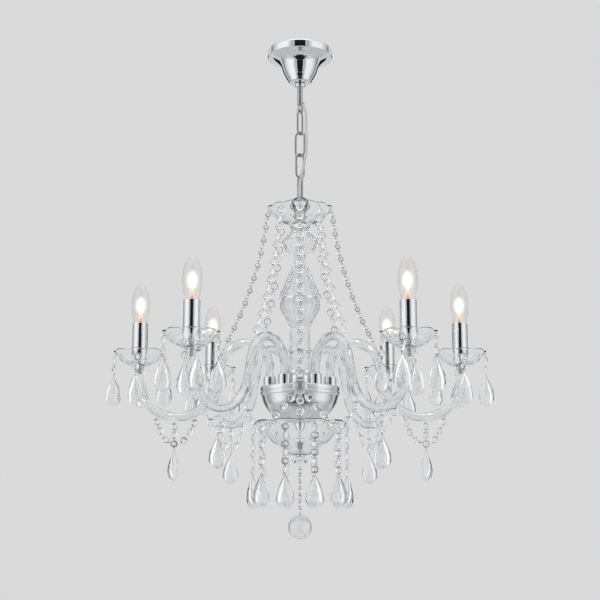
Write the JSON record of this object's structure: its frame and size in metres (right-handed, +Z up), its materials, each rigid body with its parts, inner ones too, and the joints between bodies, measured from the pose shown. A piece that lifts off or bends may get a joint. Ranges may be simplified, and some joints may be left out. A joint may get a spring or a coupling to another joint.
{
  "type": "maria theresa chandelier",
  "caption": "Ceiling chandelier with scrolled clear glass arms, candle lamps in pressed glass cups, a glass column on a link chain and strings of cut crystal drops.",
  "frame": {"origin": "centre of the ceiling bracket's screw pattern on the ceiling plane", "axes": "+Z up through the ceiling, the two side arms along X"},
  "size_m": [0.7432, 0.601, 0.9676],
  "materials": {
    "chrome": "polished",
    "zinc_steel": "zinc plated",
    "white_plastic": "satin",
    "clear_flex": "clear sleeve",
    "lamp_glass": "clear lit lamp",
    "clear_glass": "clear pressed glass",
    "crystal": "cut crystal"
  },
  "bodies": {
    "ceiling": {"ceiling_bracket": "zinc_steel", "hanging_rod": "chrome", "rod_nut": "chrome", "terminal_block": "white_plastic"},
    "canopy": {"canopy": "chrome", "canopy_collar": "chrome"},
    "link": {"chain_link_1": "chrome"},
    "fitting": {"arm_plate": "chrome", "arm_sockets": "chrome", "arm_swags": "crystal", "bell_cap": "clear_glass", "bowl": "chrome", "candle_tubes": "chrome", "centre_stem": "chrome", "centre_strands": "crystal", "chain_links": "chrome", "column_tube": "clear_glass", "crown_dish": "clear_glass", "crown_strands": "crystal", "cup_drops": "crystal", "dish_swags": "crystal", "drip_cups": "clear_glass", "finial": "clear_glass", "flex_cable": "clear_flex", "glass_arm_1": "clear_glass", "glass_arm_2": "clear_glass", "glass_arm_3": "clear_glass", "glass_arm_4": "clear_glass", "glass_arm_5": "clear_glass", "glass_arm_6": "clear_glass", "lamp_holders": "white_plastic", "lower_dish": "clear_glass", "stem_collars": "chrome", "top_loop": "chrome", "vase_lower": "clear_glass", "vase_upper": "clear_glass"},
    "lamp_1": {"bulb_1": "lamp_glass"},
    "lamp_2": {"bulb_2": "lamp_glass"},
    "lamp_3": {"bulb_3": "lamp_glass"},
    "lamp_4": {"bulb_4": "lamp_glass"},
    "lamp_5": {"bulb_5": "lamp_glass"},
    "lamp_6": {"bulb_6": "lamp_glass"},
    "arm_pendant_1": {"arm_drop_1": "crystal"},
    "arm_pendant_2": {"arm_drop_2": "crystal"},
    "arm_pendant_3": {"arm_drop_3": "crystal"},
    "arm_pendant_4": {"arm_drop_4": "crystal"},
    "arm_pendant_5": {"arm_drop_5": "crystal"},
    "arm_pendant_6": {"arm_drop_6": "crystal"},
    "dish_pendant_1": {"dish_drop_1": "crystal"},
    "dish_pendant_2": {"dish_drop_2": "crystal"},
    "dish_pendant_3": {"dish_drop_3": "crystal"},
    "dish_pendant_4": {"dish_drop_4": "crystal"},
    "dish_pendant_5": {"dish_drop_5": "crystal"},
    "dish_pendant_6": {"dish_drop_6": "crystal"},
    "dish_pendant_7": {"dish_drop_7": "crystal"},
    "dish_pendant_8": {"dish_drop_8": "crystal"},
    "dish_pendant_9": {"dish_drop_9": "crystal"},
    "dish_pendant_10": {"dish_drop_10": "crystal"},
    "ball": {"ball_pendant": "crystal"}
  },
  "joints": [
    {"name": "canopy_slide", "type": "slide", "parent": "ceiling", "child": "canopy", "axis": [0, 0, -1], "range_m": [0, 0.028]},
    {"name": "link_swing", "type": "hinge", "parent": "ceiling", "child": "link", "pos_m": [0, 0, -0.12585], "axis": [0.5, 0.866, 0], "range_deg": [-10, 10], "deforming": ["flex_cable"]},
    {"name": "fitting_swing", "type": "hinge", "parent": "link", "child": "fitting", "pos_m": [0, 0, -0.17299], "axis": [0.9272, -0.3746, 0], "range_deg": [-10, 10], "deforming": ["flex_cable"]},
    {"name": "lamp_1_unscrew", "type": "hinge", "parent": "fitting", "child": "lamp_1", "pos_m": [0.30888, 0, -0.566], "axis": [0, 0, 1], "range_deg": [0, 180]},
    {"name": "lamp_2_unscrew", "type": "hinge", "parent": "fitting", "child": "lamp_2", "pos_m": [0.18688, 0.2452, -0.566], "axis": [0, 0, 1], "range_deg": [0, 180]},
    {"name": "lamp_3_unscrew", "type": "hinge", "parent": "fitting", "child": "lamp_3", "pos_m": [-0.18688, 0.2452, -0.566], "axis": [0, 0, 1], "range_deg": [0, 180]},
    {"name": "lamp_4_unscrew", "type": "hinge", "parent": "fitting", "child": "lamp_4", "pos_m": [-0.30888, 0, -0.566], "axis": [0, 0, 1], "range_deg": [0, 180]},
    {"name": "lamp_5_unscrew", "type": "hinge", "parent": "fitting", "child": "lamp_5", "pos_m": [-0.18688, -0.2452, -0.566], "axis": [0, 0, 1], "range_deg": [0, 180]},
    {"name": "lamp_6_unscrew", "type": "hinge", "parent": "fitting", "child": "lamp_6", "pos_m": [0.18688, -0.2452, -0.566], "axis": [0, 0, 1], "range_deg": [0, 180]},
    {"name": "arm_pendant_1_swing", "type": "hinge", "parent": "fitting", "child": "arm_pendant_1", "pos_m": [0.23918, 0, -0.79765], "axis": [1, 0, 0], "range_deg": [-20, 20]},
    {"name": "arm_pendant_2_swing", "type": "hinge", "parent": "fitting", "child": "arm_pendant_2", "pos_m": [0.14302, 0.19103, -0.79765], "axis": [0.6293, 0.7771, 0], "range_deg": [-20, 20]},
    {"name": "arm_pendant_3_swing", "type": "hinge", "parent": "fitting", "child": "arm_pendant_3", "pos_m": [-0.14302, 0.19103, -0.79765], "axis": [-0.6293, 0.7771, 0], "range_deg": [-20, 20]},
    {"name": "arm_pendant_4_swing", "type": "hinge", "parent": "fitting", "child": "arm_pendant_4", "pos_m": [-0.23918, 0, -0.79765], "axis": [-1, 0, 0], "range_deg": [-20, 20]},
    {"name": "arm_pendant_5_swing", "type": "hinge", "parent": "fitting", "child": "arm_pendant_5", "pos_m": [-0.14302, -0.19103, -0.78365], "axis": [-0.6293, -0.7771, 0], "range_deg": [-20, 20]},
    {"name": "arm_pendant_6_swing", "type": "hinge", "parent": "fitting", "child": "arm_pendant_6", "pos_m": [0.14302, -0.19103, -0.78365], "axis": [0.6293, -0.7771, 0], "range_deg": [-20, 20]},
    {"name": "dish_pendant_1_swing", "type": "hinge", "parent": "fitting", "child": "dish_pendant_1", "pos_m": [0.089, 0, -0.75518], "axis": [0, 1, 0], "range_deg": [-20, 8]},
    {"name": "dish_pendant_2_swing", "type": "hinge", "parent": "fitting", "child": "dish_pendant_2", "pos_m": [0.072, 0.05231, -0.75518], "axis": [-0.5878, 0.809, 0], "range_deg": [-20, 8]},
    {"name": "dish_pendant_3_swing", "type": "hinge", "parent": "fitting", "child": "dish_pendant_3", "pos_m": [0.0275, 0.08464, -0.75518], "axis": [-0.9511, 0.309, 0], "range_deg": [-20, 8]},
    {"name": "dish_pendant_4_swing", "type": "hinge", "parent": "fitting", "child": "dish_pendant_4", "pos_m": [-0.0275, 0.08464, -0.75518], "axis": [-0.9511, -0.309, 0], "range_deg": [-20, 8]},
    {"name": "dish_pendant_5_swing", "type": "hinge", "parent": "fitting", "child": "dish_pendant_5", "pos_m": [-0.072, 0.05231, -0.75518], "axis": [-0.5878, -0.809, 0], "range_deg": [-20, 8]},
    {"name": "dish_pendant_6_swing", "type": "hinge", "parent": "fitting", "child": "dish_pendant_6", "pos_m": [-0.089, 0, -0.75518], "axis": [0, -1, 0], "range_deg": [-20, 8]},
    {"name": "dish_pendant_7_swing", "type": "hinge", "parent": "fitting", "child": "dish_pendant_7", "pos_m": [-0.072, -0.05231, -0.75518], "axis": [0.5878, -0.809, 0], "range_deg": [-20, 8]},
    {"name": "dish_pendant_8_swing", "type": "hinge", "parent": "fitting", "child": "dish_pendant_8", "pos_m": [-0.0275, -0.08464, -0.75518], "axis": [0.9511, -0.309, 0], "range_deg": [-20, 8]},
    {"name": "dish_pendant_9_swing", "type": "hinge", "parent": "fitting", "child": "dish_pendant_9", "pos_m": [0.0275, -0.08464, -0.75518], "axis": [0.9511, 0.309, 0], "range_deg": [-20, 8]},
    {"name": "dish_pendant_10_swing", "type": "hinge", "parent": "fitting", "child": "dish_pendant_10", "pos_m": [0.072, -0.05231, -0.75518], "axis": [0.5878, 0.809, 0], "range_deg": [-20, 8]},
    {"name": "ball_swing", "type": "hinge", "parent": "fitting", "child": "ball", "pos_m": [0, 0, -0.83435], "axis": [0, 1, 0], "range_deg": [-12, 12]}
  ]
}
